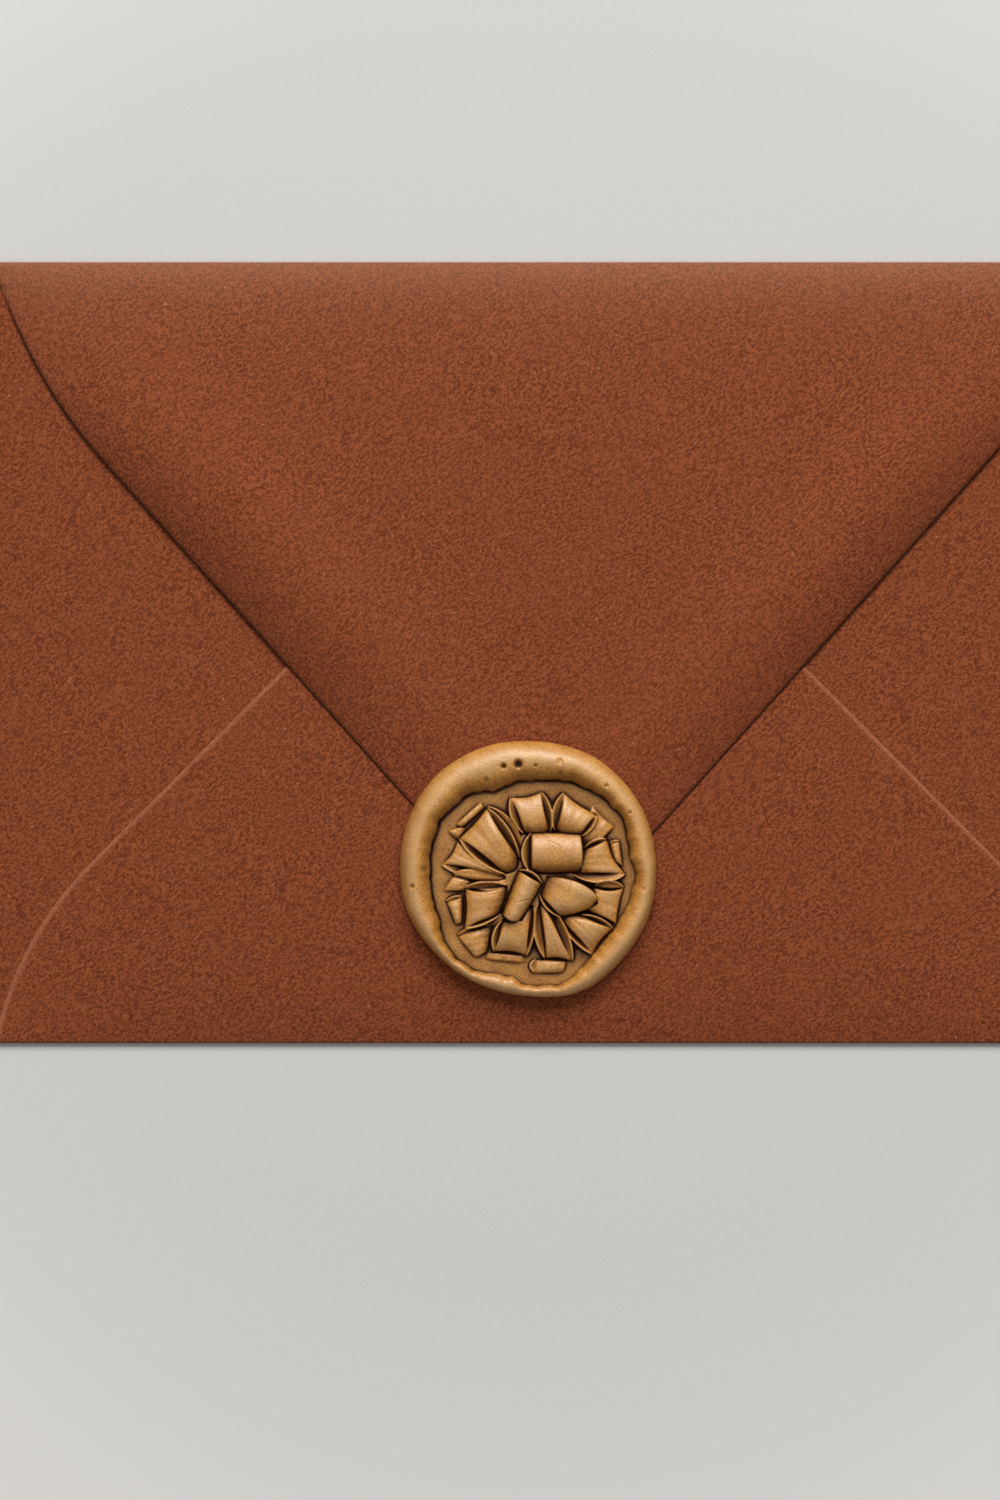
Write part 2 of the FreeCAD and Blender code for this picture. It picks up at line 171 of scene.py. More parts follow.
class Value:
    """A socket that can be used in sums."""

    def __init__(self, material, socket):
        self.material = material
        self.socket = socket

    def maths(self, operation, *others):
        return self.material.node("ShaderNodeMath", {"operation": operation}, [self, *others])

    def __add__(self, other):
        return self.maths("ADD", other)

    def __rsub__(self, other):
        return self.maths("MULTIPLY", -1.0) + other

    def __mul__(self, other):
        return self.maths("MULTIPLY", other)

    def clamped(self):
        return self.material.node("ShaderNodeClamp", {}, [self, 0.0, 1.0])

    def ramp(self, low, high):
        """0 below low and 1 above high, with a soft step between."""
        settings = {"interpolation_type": "SMOOTHSTEP"}
        return self.material.node("ShaderNodeMapRange", settings, [self, low, high, 0.0, 1.0])


class Finish:
    """A material under construction: its nodes, its shader and its output."""

    def __init__(self, name):
        self.made = bpy.data.materials.new(name)
        self.made.use_nodes = True
        self.tree = self.made.node_tree
        self.shader = self.tree.nodes["Principled BSDF"]

    def node(self, kind, settings=None, inputs=None, output=0):
        """Add a node, set it up, then fill its inputs by place or by name."""
        node = self.tree.nodes.new(kind)
        for key, value in (settings or {}).items():
            setattr(node, key, value)
        inputs = inputs or []
        pairs = inputs.items() if isinstance(inputs, dict) else enumerate(inputs)
        for key, value in pairs:
            self.feed(node.inputs[key], value)
        return Value(self, node.outputs[output])

    def feed(self, socket, value):
        """Link a wrapped socket, or set a plain number or colour."""
        if isinstance(value, Value):
            self.tree.links.new(value.socket, socket)
        else:
            socket.default_value = value

    def set(self, **inputs):
        """Fill the shader's inputs: Base_Color stands for Base Color."""
        for key, value in inputs.items():
            self.feed(self.shader.inputs[key.replace("_", " ")], value)

    def place(self):
        """Object coordinates, in metres from the envelope's middle on the table."""
        return self.node("ShaderNodeTexCoord", output="Object")

    def slanted(self, place, degrees, stretch):
        """Coordinates for a pattern drawn out by stretch along a line degrees up from X."""
        return self.node("ShaderNodeMapping", {"vector_type": "TEXTURE"}, {
            "Vector": place, "Rotation": (0.0, 0.0, math.radians(degrees)), "Scale": (stretch, 1.0, 1.0)})

    def noise(self, place, size_mm, detail, roughness):
        """Cloudy noise from 0 to 1 whose blobs are about that many mm across."""
        return self.node("ShaderNodeTexNoise", {}, {
            "Vector": place, "Scale": 1 / (size_mm * MM), "Detail": detail,
            "Roughness": roughness}, output="Fac")

    def tint(self, name):
        """A number that was painted on the points of the mesh."""
        return self.node("ShaderNodeAttribute", {"attribute_name": name}, output="Fac")

    def mix(self, factor, first, second):
        """From one colour to another by a factor."""
        inputs = {MIX_FACTOR: factor, MIX_FIRST: first, MIX_SECOND: second}
        return self.node("ShaderNodeMix", {"data_type": "RGBA"}, inputs, output=MIX_RESULT)

    def bump(self, height, depth_mm, strength, normal=None):
        """Bend the normals as if the surface had that height, in mm."""
        inputs = {"Strength": strength, "Distance": depth_mm * MM, "Height": height}
        if normal is not None:
            inputs["Normal"] = normal
        return self.node("ShaderNodeBump", {}, inputs)


def rgb(red, green, blue):
    """A colour read as 0 to 255 on a screen, as the linear numbers a shader takes."""
    screen = np.array([red, green, blue]) / 255
    linear = np.where(screen < 0.04045, screen / 12.92, ((screen + 0.055) / 1.055) ** 2.4)
    return (*linear.tolist(), 1.0)


# %% [markdown]
# ## The camera
# The picture was taken from straight above with a long lens, a little to the left
# of the envelope's middle and nearer to the flap's point. The frame is narrower
# than the envelope. It is 1000 by 1500, and its long side takes the sensor's 36 mm.

# %% Camera
PIXELS_PER_MM = 6.868
CENTRE_PIXEL = (545.5, 652.5)
FRAME_PIXELS = (1000, 1500)
LENS = 85.0
SENSOR = 36.0

camera_data = bpy.data.cameras.new("camera")
camera_data.lens = LENS
camera_data.sensor_width = SENSOR
camera_data.clip_start = 0.01
camera = add_object("camera", camera_data)
camera_x = (FRAME_PIXELS[0] / 2 - CENTRE_PIXEL[0]) / PIXELS_PER_MM
camera_y = (CENTRE_PIXEL[1] - FRAME_PIXELS[1] / 2) / PIXELS_PER_MM
camera_z = FRAME_PIXELS[1] / PIXELS_PER_MM * LENS / SENSOR + crown
camera.location = (camera_x * MM, camera_y * MM, camera_z * MM)
bpy.context.scene.camera = camera
print("camera", round(camera_z), "mm above the table")

# %% [markdown]
# ## The light
# Daylight comes through a wide window beyond the fold of the flap, about halfway
# up. Light from one side draws the swell of the paper and the relief of the wax.
# A weak lamp nearly overhead and a faint light all round keep shadows from black.

# %% Lamps and world
ALL_ROUND = 0.17


def lamp(name, azimuth, elevation, distance_mm, size_mm, watts):
    """A rectangular lamp that looks at the middle. Azimuth 0 is +Y and 90 is +X."""
    data = bpy.data.lights.new(name, "AREA")
    data.shape = "RECTANGLE"
    data.size, data.size_y = size_mm[0] * MM, size_mm[1] * MM
    data.energy = watts
    thing = add_object(name, data)
    turn, lift = math.radians(azimuth), math.radians(elevation)
    away = np.array([math.sin(turn) * math.cos(lift), math.cos(turn) * math.cos(lift), math.sin(lift)])
    thing.location = away * distance_mm * MM
    thing.rotation_mode = "XYZ"
    thing.rotation_euler = (math.pi / 2 - lift, 0.0, math.pi - turn)
    return thing


window = lamp("window", 4, 43, 1500, (1100, 800), 26.5)
room = lamp("room", 200, 72, 900, (900, 900), 1.3)

world = bpy.data.worlds.new("room_light")
bpy.context.scene.world = world
world.use_nodes = True
world.node_tree.nodes["Background"].inputs["Color"].default_value = (1.0, 1.0, 1.0, 1.0)
world.node_tree.nodes["Background"].inputs["Strength"].default_value = ALL_ROUND
bpy.context.scene.view_settings.view_transform = "Standard"
print("lamps", window.name, room.name)

# %% [markdown]
# ## How the paper swells
# A folded sheet never lies dead flat. The back bellies up between its folds and
# leaves each of them at a slope, like a thin cushion. The top flap, held only by
# the wax, lifts into a low roll along both straight edges and bends down again to
# the edge. The layers share one cushion, so they never cross.

# %% The swell, as functions of place in mm
SEAL = (wax_low[:2] + wax_high[:2]) / 2
SEAL_RADIUS = (wax_high[0] - wax_low[0]) / 2

# The short rise off every fold, and how far from the fold it takes.
RISE, RISE_REACH = 0.4, 3.0
# The top flap's gap to the flaps below, its spring off its fold, how far that takes
# from the fold and from an edge, and the height and width of its two rolls.
GAP = 0.12
SPRING, SPRING_REACH, SPRING_EDGE = 0.65, 3.0, 6.0
LEFT_ROLL, RIGHT_ROLL = (2.7, 10.0), (2.3, 9.0)
# Part of a roll that is lost inwards, over this part of its width, and the part that
# the wax leaves of it.
ROLL_LOST, ROLL_LEE, ROLL_HELD = 0.8, 0.75, 0.35


def smooth(value, low, high):
    """0 below low, 1 above high, and 3t^2 - 2t^3 between."""
    t = np.clip((value - low) / (high - low), 0.0, 1.0)
    return t * t * (3 - 2 * t)


def ripple(x, y):
    """Slow unevenness of the sheet: three crossing waves a few hundredths high."""
    first = np.sin(x / 9.1 + 0.8) * np.sin(y / 7.3 + 1.9)
    second = np.sin((x + 0.7 * y) / 13.7 + 0.4)
    third = np.sin((0.5 * x - y) / 5.9 + 2.2)
    return 0.030 * first + 0.035 * second + 0.015 * third


def pillow(x, y):
    """
    Height that all layers share: crown * (1 - X^4) * (1 - Y^4), where X and Y are 1 at
    the folds, and a short rise of 1 - exp(-distance / reach) off every fold.
    """
    across, along = (x / half_x) ** 2, ((y - mid_y) / half_y) ** 2
    wide = crown * (1 - across ** 2) * (1 - along ** 2)
    off_ends = 1 - np.exp((np.abs(x) - half_x) / RISE_REACH)
    off_folds = 1 - np.exp((np.abs(y - mid_y) - half_y) / RISE_REACH)
    return np.maximum(wide, 0) + RISE * np.clip(off_ends * off_folds, 0, 1)


def edge_roll(inside, rise, width):
    """
    A roll along a free edge: rise * (1 - (1 - x)^2) up to its top at x = 1, where x is
    inside / width, then down again by most of it along half of a bell curve.
    """
    x = np.maximum(inside, 0) / width
    climb = 1 - np.maximum(1 - x, 0) ** 2
    descent = 1 - np.exp(-(np.maximum(x - 1, 0) / ROLL_LEE) ** 2)
    return rise * (climb - ROLL_LOST * descent)


def top_lift(x, depth, inside):
    """
    What the top flap has over the layers below it. It springs off its fold, and rolls
    along its straight edges, less so where the wax holds it down.
    """
    off_fold = 1 - np.exp(-np.maximum(depth, 0) / SPRING_REACH)
    off_edge = 1 - np.exp(-np.maximum(inside, 0) / SPRING_EDGE)
    from_seal = np.hypot(x - SEAL[0], high_y - depth - SEAL[1])
    free = ROLL_HELD + (1 - ROLL_HELD) * smooth(from_seal, SEAL_RADIUS - 6, SEAL_RADIUS + 32)
    to_left = smooth(-x, -12.0, 12.0)
    roll = to_left * edge_roll(inside, *LEFT_ROLL) + (1 - to_left) * edge_roll(inside, *RIGHT_ROLL)
    roll = roll * smooth(depth, 2.0, 34.0) * free
    waves = 0.3 * ripple(x, high_y - depth) * smooth(inside, 0, 6)
    return GAP * smooth(depth, 3.0, 20.0) + SPRING * off_fold * off_edge + roll + waves


# %% [markdown]
# ## The outline of a flap
# Every flap is the same idea: a fold, a round shoulder on each side, a straight
# edge, and a rounded point. Worked out as half of the width at each depth below
# the fold, it lets one grid of points fill the flap from edge to edge.

# %% Half of a flap's width by depth
# How much the rows of a flap crowd towards its fold and its point.
CROWDED = 0.35


class Flap:
    """
    Outline of a flap in its own frame: across is measured from its middle and
    depth from the line of its fold. The straight edge, drawn on, meets that line
    at spread beyond the flap's end and the middle at the full depth. Shoulder and
    tip are the radii of the round corners.
    """

    def __init__(self, half_fold, depth, spread, shoulder, tip):
        self.half_fold, self.shoulder, self.tip = half_fold, shoulder, tip
        self.depth = depth
        self.angle = math.atan2(half_fold + spread, depth)
        sine, cosine = math.sin(self.angle), math.cos(self.angle)
        inset = depth * sine - half_fold * cosine
        reach = math.sqrt(inset * (2 * shoulder - inset))
        self.leave = np.array([half_fold + inset * cosine - reach * sine,
                               inset * sine + reach * cosine])
        self.shoulder_middle = self.leave - shoulder * np.array([cosine, sine])
        self.tip_middle = depth - tip / sine
        self.tip_start = self.tip_middle + tip * sine
        self.end = self.tip_middle + tip

    def half_width(self, depth):
        """Arc, then straight edge, then the arc of the point."""
        x, y = self.shoulder_middle
        bow = x + np.sqrt(np.maximum(self.shoulder ** 2 - (depth - y) ** 2, 0))
        straight = (self.depth - depth) * math.tan(self.angle)
        point = np.sqrt(np.maximum(self.tip ** 2 - (depth - self.tip_middle) ** 2, 0))
        low = np.where(depth < self.leave[1], bow, straight)
        return np.where(depth > self.tip_start, point, low)

    def depths(self, rows):
        """Depths that crowd together near the fold and towards the point."""
        t = np.linspace(0, 1, rows)
        return self.end * (1 - np.cos(np.pi * t)) / 2 * CROWDED + self.end * t * (1 - CROWDED)


half_long = half_x - CORNER_RELIEF
half_short = half_y - CORNER_RELIEF
top_outline = Flap(half_long, depth=100.9 - fold_of(TOP), spread=9.9, shoulder=77.0, tip=8.0)
bottom_outline = Flap(half_long, depth=92.7 - fold_of(BOTTOM), spread=11.8, shoulder=52.0, tip=20.0)
side_outline = Flap(half_short, depth=60.3 - fold_of(SIDE), spread=4.0, shoulder=30.0, tip=15.0)
print("top flap ends", round(top_outline.end, 1), "mm below its fold")

# %% [markdown]
# ## One flap with its fold
# A flap is a closed tube of a section: the outer face from edge to edge, a round
# cut edge, the inner face back, and the other cut edge. The first rows run round
# the fold, from under the front to the top; the others follow the swell down to
# the point. Rows of that section make the whole flap, with its real thickness.
# Cutting pressed the free edges down, so the paper thins towards them.

# %% Build a flap
# Rows round a fold, columns by their distance from an edge, columns round a cut.
FOLD_ROWS = 14
EDGE_STEPS = (0.0, 0.05, 0.1, 0.16, 0.24, 0.34, 0.46, 0.62, 0.85, 1.2, 1.7, 2.4)
EDGE_TURNS = 4
# How far a free edge is pressed down and over what width, in mm, and the slope in
# radians at which a flap leaves its fold.
EDGE_DROP = {SIDE: 0.17, BOTTOM: 0.18, TOP: 0.17}
EDGE_SOFT = {SIDE: 0.36, BOTTOM: 0.45, TOP: 0.34}
LEAVE_SLOPE = {SIDE: 0.22, BOTTOM: 0.26, TOP: 0.42}
# Widths of the painted shadow along the top flap's edge and of the painted highlight
# on its fold, and a distance from any cut at which its pale line is gone.
EDGE_SHADOW_WIDTH, FOLD_HIGHLIGHT_WIDTH, FAR = 0.17, 4.5, 9.0


def across_positions(half_width, columns):
    """Places from -w to w for a column of half widths w, crowded near both edges."""
    steps = np.array(EDGE_STEPS)
    near = half_width - steps * np.minimum(half_width / (3 * steps[-1]), 1.0)
    inner = near[:, -1:] * np.linspace(1, -1, columns + 2)[1:-1]
    return np.concatenate([near, inner, -near[:, ::-1]], axis=1)


def build_flap(name, outline, layer, turn, fold_middle, rows, columns):
    """
    Points in the flap's own frame (across, outwards from the fold, up) are turned
    about Z by turn degrees and moved to the middle of the fold.
    """
    radius = fold_of(layer)
    c, s = math.cos(math.radians(turn)), math.sin(math.radians(turn))

    def to_row(across, outwards):
        return fold_middle[0] + c * across - s * outwards, fold_middle[1] + s * across + c * outwards

    depth = outline.depths(rows)[:, None]
    lean = LEAVE_SLOPE[layer]
    bends = np.linspace(-math.pi / 2, math.pi / 2 - lean, FOLD_ROWS)[:-1, None]

    # Outer skin: rows round the fold, then rows down the flap.
    fold_across = across_positions(np.full_like(bends, outline.half_fold), columns)
    flap_across = across_positions(outline.half_width(depth), columns)
    fold_out = np.broadcast_to(radius * np.cos(bends), fold_across.shape)
    fold_up = np.broadcast_to(radius * (1 + np.sin(bends)), fold_across.shape)
    start_out, start_up = radius * math.sin(lean), radius * (1 + math.cos(lean))
    flap_out = np.broadcast_to(start_out - depth, flap_across.shape)

    x, y = to_row(flap_across, np.minimum(flap_out, 0))
    inside = (outline.half_width(depth) - np.abs(flap_across)) * math.cos(outline.angle)
    drop = EDGE_DROP[layer] * np.exp(-(inside / EDGE_SOFT[layer]) ** 2) * smooth(depth, 0.5, 4.0)
    waves = ripple(x, y) * smooth(depth, 0.0, 8.0)
    lifted = top_lift(flap_across, depth, inside) if layer == TOP else 0.0
    flap_up = start_up + pillow(x, y) + waves + lifted - drop

    across = np.concatenate([fold_across, flap_across])
    outwards = np.concatenate([fold_out, flap_out])
    up = np.concatenate([fold_up, flap_up])

    # Inner skin: one paper thickness along the slope of each row.
    step_out, step_up = np.gradient(outwards, axis=0), np.gradient(up, axis=0)
    span = np.hypot(step_out, step_up) + 1e-9
    normal_out, normal_up = step_up / span, -step_out / span
    thick = PAPER - np.concatenate([np.zeros_like(fold_up), drop])
    inner_out, inner_up = outwards - normal_out * thick, up - normal_up * thick

    turns = np.arange(1, EDGE_TURNS + 1) / (EDGE_TURNS + 1) * math.pi

    def section(skin, inner, bulge=0.0):
        """
        One coordinate all round: outer skin, right cut, inner skin, left cut. The cuts
        are half circles between the skins, which bulge outwards.
        """
        cuts = []
        for column, side in ((0, 1), (-1, -1)):
            middle = (skin[:, column, None] + inner[:, column, None]) / 2
            half = (skin[:, column, None] - inner[:, column, None]) / 2
            outer = side * thick[:, column, None] / 2 * np.sin(turns)
            cuts.append(middle + half * np.cos(turns) + bulge * outer)
        return np.concatenate([skin[:, ::-1], cuts[0], inner, cuts[1][:, ::-1]], axis=1)

    x, y = to_row(section(across, across, bulge=1.0), section(outwards, inner_out))
    points = np.stack([x, y, section(up, inner_up)], axis=-1)
    total_rows, total_columns = x.shape

    # Three numbers are painted on the points. One is the distance from a cut, for the
    # pale line there, which is partly the paper's paler inside and partly a painted
    # highlight where the cut edge catches the light. The top flap has a thin painted
    # shadow along its edge instead, and a painted highlight on its fold.
    on_top = float(layer == TOP)
    row_depth = np.concatenate([np.zeros_like(bends), depth])
    distance = np.concatenate([np.full(fold_across.shape, FAR), inside + on_top * FAR])
    line = np.concatenate([np.zeros(fold_across.shape), np.exp(-(inside / EDGE_SHADOW_WIDTH) ** 2)])
    line = on_top * line * smooth(row_depth, 1.0, 10.0)
    fold_highlight_share = on_top * np.exp(-row_depth / FOLD_HIGHLIGHT_WIDTH)

    def painted(skin, on_cut, ends):
        """A number for every point: on both skins, on the cuts and at the two ends."""
        cut = on_cut + np.zeros((total_rows, EDGE_TURNS))
        return np.concatenate([np.concatenate([skin[:, ::-1], cut, skin, cut], axis=1).ravel(), ends])

    tints = {"cut_distance": painted(distance, on_top * FAR, [FAR, 0.0]),
             "painted_edge_shadow": painted(line, line[:, :1], [0.0, 0.0]),
             "painted_fold_highlight": painted(np.broadcast_to(fold_highlight_share, across.shape), fold_highlight_share, [0.0, 0.0])}

    faces = [grid_faces(total_rows, total_columns, wrap=True)]
    ring = np.arange(total_columns)
    caps = np.stack([points[0].mean(axis=0), points[-1].mean(axis=0)])
    count = total_rows * total_columns
    faces.append(fan_faces(ring, count, flip=True))
    faces.append(fan_faces(ring + count - total_columns, count + 1))
    points = np.concatenate([points.reshape(-1, 3), caps])
    piece = make_piece(name, points, faces, paper_finish, tints)
    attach(piece, "root")
    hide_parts("envelope_sheet")


# %% [markdown]
# ## The paper's finish
# Felt-marked paper is dyed right through. Its face is soft and uneven: small
# blobs and finer fibres, all drawn out along one slant by the felt, and now and
# then a pale speck. They bend the light as bumps and also change the colour,
# because dye gathers in the hollows. The fold of the top flap gets a painted
# highlight. A cut gets a pale line, partly the paler inside and partly a painted
# highlight, and a painted shadow lies along the top flap's edge.

# %% Paper material


def felt_paper():
    """Terracotta: grain, slow clouds, specks, then the pale cut, the painted highlight on the fold and the
    painted shadow at the edge.
    """
    finish = Finish("felt_paper")
    place = finish.place()
    slant = finish.slanted(place, 38, 1.7)
    blobs = finish.noise(slant, 0.34, 1.0, 0.5)
    fibres = finish.noise(slant, 0.18, 1.0, 0.6)
    clouds = finish.noise(place, 9.0, 2.0, 0.5)
    grain = blobs * 0.5 + fibres * 0.5
    dark_brown, terracotta = rgb(99, 42, 19), rgb(148, 77, 43)
    tone = finish.mix(grain.ramp(0.39, 0.61), dark_brown, terracotta)
    tone = finish.mix(clouds.ramp(0.3, 0.7) * 0.2, tone, rgb(132, 66, 36))
    specks = finish.noise(place, 0.42, 0.0, 0.5).ramp(0.80, 0.84)
    tone = finish.mix(specks * 0.3, tone, rgb(205, 150, 120))
    # The pale line at a cut: partly the paper's paler inside, partly a painted highlight where the edge
    # catches the light.
    edge = 1 - finish.tint("cut_distance").ramp(0.15, 0.85)
    tone = finish.mix(edge * 0.34, tone, rgb(186, 120, 92))
    # Painted highlight on the top flap's fold.
    tone = finish.mix(finish.tint("painted_fold_highlight") * 0.22, tone, rgb(182, 140, 108))
    # Painted shadow along the top flap's edge.
    tone = finish.mix(finish.tint("painted_edge_shadow") * 0.95, tone, rgb(18, 7, 3))
    normal = finish.bump(blobs, 0.10, 0.55)
    normal = finish.bump(fibres, 0.05, 0.5, normal)
    finish.set(Base_Color=tone, Roughness=0.9, Normal=normal, Specular_IOR_Level=0.2)
    finish.set(Sheen_Weight=0.06, Sheen_Roughness=0.5, Sheen_Tint=rgb(225, 180, 150))
    return finish.made


paper_finish = felt_paper()

# %% [markdown]
# ## The four flaps and the front
# They are made in the order of folding. The side flaps and the bottom flap follow
# the cushion, and the top flap lifts off it into its two rolls. The front is a
# flat panel between the folds, and it is all that touches the table.

# %% Fold in the flaps
build_flap("right_flap", side_outline, SIDE, -90, (half_x, mid_y), rows=90, columns=90)
build_flap("left_flap", side_outline, SIDE, 90, (-half_x, mid_y), rows=90, columns=90)
build_flap("bottom_flap", bottom_outline, BOTTOM, 180, (0.0, low_y), rows=110, columns=110)
build_flap("top_flap", top_outline, TOP, 0, (0.0, high_y), rows=160, columns=120)

# %% The front panel
PANEL_COLUMNS, PANEL_ROWS = 61, 45


def front_panel():
    """A flat box between the folds, as a grid on its outer face and one on its inner face."""
    x = np.linspace(-half_x, half_x, PANEL_COLUMNS)
    y = np.linspace(low_y, high_y, PANEL_ROWS)
    grid_x, grid_y = np.meshgrid(x, y)
    under = np.stack([grid_x, grid_y, np.zeros_like(grid_x)], axis=-1)
    over = under + np.array([0.0, 0.0, PAPER])
    count = grid_x.size
    outer = grid_faces(PANEL_ROWS, PANEL_COLUMNS)
    ring = border(PANEL_ROWS, PANEL_COLUMNS)
    following = np.roll(ring, -1)
    sides = np.stack([ring, following, following + count, ring + count], axis=-1)
    points = np.concatenate([under.reshape(-1, 3), over.reshape(-1, 3)])
    tints = {"cut_distance": np.full(len(points), FAR)}
    piece = make_piece("front_panel", points, [outer, outer[:, ::-1] + count, sides], paper_finish, tints)
    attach(piece, "root")
    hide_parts("envelope_sheet")


front_panel()

# %% [markdown]
# ## The wax: the pool and the print of the stamp
# Melted wax was poured on the point of the flap and spread into a pool that isn't
# quite round. The stamp came down a little low and to the right, so the roll of
# wax that it pushed out is thick at the upper left and thin at the lower right.
# Two closed curves hold that: the edge of the pool, and the wavy edge of the print,
# each as radii in mm by degrees round from +X. The wax leans along with the paper.

# %% Curves of the wax
POUR = SEAL + np.array([0.14, -0.76])
STAMP = POUR + np.array([0.8, -1.9])
POOL_EDGE = (
    (0, 18.6), (15, 18.7), (30, 18.8), (45, 18.9), (60, 19.0), (75, 18.8), (90, 18.7), (105, 18.9),
    (120, 19.0), (135, 19.1), (150, 18.9), (165, 18.7), (180, 18.5), (199, 18.5), (217, 18.1),
    (234, 18.0), (255, 18.1), (270, 18.3), (289, 19.2), (299, 19.3), (315, 18.9), (338, 18.8),
)
PRINT_EDGE = (
    (6, 14.8), (16, 14.3), (27, 15.1), (37, 15.9), (46, 15.8), (55, 15.8), (64, 15.5), (73, 15.5),
    (81, 14.9), (90, 14.8), (102, 14.7), (113, 14.2), (123, 15.7), (135, 15.8), (146, 16.1), (156, 15.6),
    (168, 15.2), (175, 14.7), (180, 14.8), (192, 14.5), (203, 14.5), (213, 15.3), (224, 15.4),
    (234, 15.2), (247, 14.1), (258, 13.7), (263, 14.6), (275, 14.8), (284, 15.1), (292, 14.7),
    (302, 13.7), (317, 13.1), (332, 13.3), (344, 13.7), (357, 14.3),
)
# Heights of the print's floor and of the rim over the paper, the size of the fine waves
# on the print's edge, and half of the length over which the paper's lean is taken.
PRINT_FLOOR, CREST = 1.1, 2.6
EDGE_WAVE = 0.07
LEAN_REACH = 17.0


def radius_at(table, angle, wave=0.0):
    """Radius at any angle: a closed curve that rounds off a table's steps, with waves."""
    degrees, radii = np.array(table, float).T
    fine = np.arange(720) / 2
    stepped = np.interp(fine, degrees, radii, period=360)
    reach = np.arange(-8, 9)
    weight = np.exp(-(reach / 2.4) ** 2)
    rounded = sum(w * np.roll(stepped, r) for w, r in zip(weight, reach)) / weight.sum()
    waves = np.sin(23 * angle) + 0.8 * np.sin(37 * angle + 1) + 0.5 * np.sin(61 * angle + 2)
    return np.interp(np.degrees(angle) % 360, fine, rounded, period=360) + wave * waves


def paper_below(x, y):
    """Height of the paper under the wax: the top flap, and past its edge the bottom flap."""
    depth = high_y - y
    half_width = top_outline.half_width(np.clip(depth, 0, top_outline.end))
    inside = (half_width - np.abs(x)) * math.cos(top_outline.angle)
    inside = np.where(depth > top_outline.end, top_outline.end - depth, inside)
    on_flap = smooth(inside, -0.4, 0.4)
    above = level_of(TOP) + top_lift(x, depth, inside)
    return pillow(x, y) + on_flap * above + (1 - on_flap) * level_of(BOTTOM) + PAPER


seat = float(paper_below(POUR[0], POUR[1]))
fold_end = paper_below(POUR[0], POUR[1] + LEAN_REACH)
point_end = paper_below(POUR[0], POUR[1] - LEAN_REACH)
seal_lean = float(fold_end - point_end)
seat_slope = seal_lean / (2 * LEAN_REACH)


def bed(y):
    """Height of the leaning plane that the wax lies on, along with the paper."""
    return seat + seat_slope * (y - POUR[1])


print("wax sits at", round(seat, 2), "mm and leans", round(seal_lean, 2), "mm from top to bottom")

# %% [markdown]
# ## The bow in the print
# The picture is a gathered ribbon bow seen from above, worked out as a height map.
# A ribbon loop arches from its root near the middle to its end and turns under
# there, so its height is a rounded arch along its length. At its sides one sees
# into the loop: a lens-shaped opening between the arched band and its lower half,
# with the ribbon's edge as a thin lip. Loops are laid one over another, the lowest
# first, each in the plan of its four corners, in mm from the middle of the print.
# A second map holds painted shade, darker where loops gather and tuck in.

# %% Laying ribbon on a height map
# The map's cell and half of its side, and how far the edge of a shape is softened.
CELL, REACH, EDGE_BLUR = 0.045, 17.5, 0.07
# Height of the lip of an opening, which is also how far it is from the edge.
LIP = 0.16
# How far a band falls towards its sides, and again right at its edge.
SIDE_FALL, EDGE_FALL = 0.34, 0.10
# Painted shade at the root of a band, where it tucks in, and in an opening, next to the band.
ROOT_SHADE, OPENING_SHADE = 0.42, 0.12

ticks = np.arange(-REACH, REACH + CELL / 2, CELL)
map_x, map_y = np.meshgrid(ticks, ticks)


def lay(place, share, height, painted_shade):
    """Lay a shape over that part of both maps: share is 0 outside it and 1 inside."""
    relief[place] = relief[place] * (1 - share) + height * share
    painted_tuck_shade[place] = painted_tuck_shade[place] * (1 - share) + painted_shade * share


def hump(t):
    """4t(1 - t): 1 in the middle, 0 at both ends and beyond them."""
    return np.clip(4 * t * (1 - t), 0, 1)


def part_with(points, margin):
    """Rows and columns of the map that hold these points, with a margin in mm."""
    points = np.asarray(points)
    low = np.clip(((points.min(axis=0) - margin + REACH) / CELL).astype(int), 0, len(ticks) - 1)
    high = np.clip(((points.max(axis=0) + margin + REACH) / CELL).astype(int) + 1, 1, len(ticks))
    return slice(low[1], high[1]), slice(low[0], high[0])


def lay_lens(start, end, inner, outer, low, high, swell=0.0):
    """
    The opening at a loop's side. It lies between two arcs over the line from start to
    end, bulging by inner and outer mm to the left; it rises from low to high across,
    and has a lip along the outer arc. With swell it is a rounded body instead.
    """
    start, end = np.array(start), np.array(end)
    along = end - start
    span = np.hypot(*along)
    along = along / span
    place = part_with([start, end], abs(outer) + abs(inner) + 0.5)
    x, y = map_x[place] - start[0], map_y[place] - start[1]
    t = (x * along[0] + y * along[1]) / span
    s = -x * along[1] + y * along[0]
    arch = hump(t) ** 0.8
    first, second = inner * arch, outer * arch
    width = np.abs(second - first) + 1e-6
    sign = 1.0 if outer > inner else -1.0
    from_band = sign * (s - first)
    to_lip = sign * (second - s)
    ends = np.minimum(t, 1 - t) * span
    share = smooth(np.minimum(np.minimum(from_band, to_lip), ends), -EDGE_BLUR, EDGE_BLUR)
    across = np.clip(from_band / width, 0, 1)
    fold = 0.14 * np.sin(across * 9 + 0.5) * np.clip(width, 0, 1)
    top = low + (high - low) * across ** 1.4 + fold * across
    top = top + LIP * np.exp(-((to_lip - LIP) / LIP) ** 2) * (swell == 0)
    top = top + swell * np.sqrt(hump(across) * hump(t))
    # Painted shade in the opening, darkest next to the band.
    lay(place, share, top, OPENING_SHADE * (1 - across))


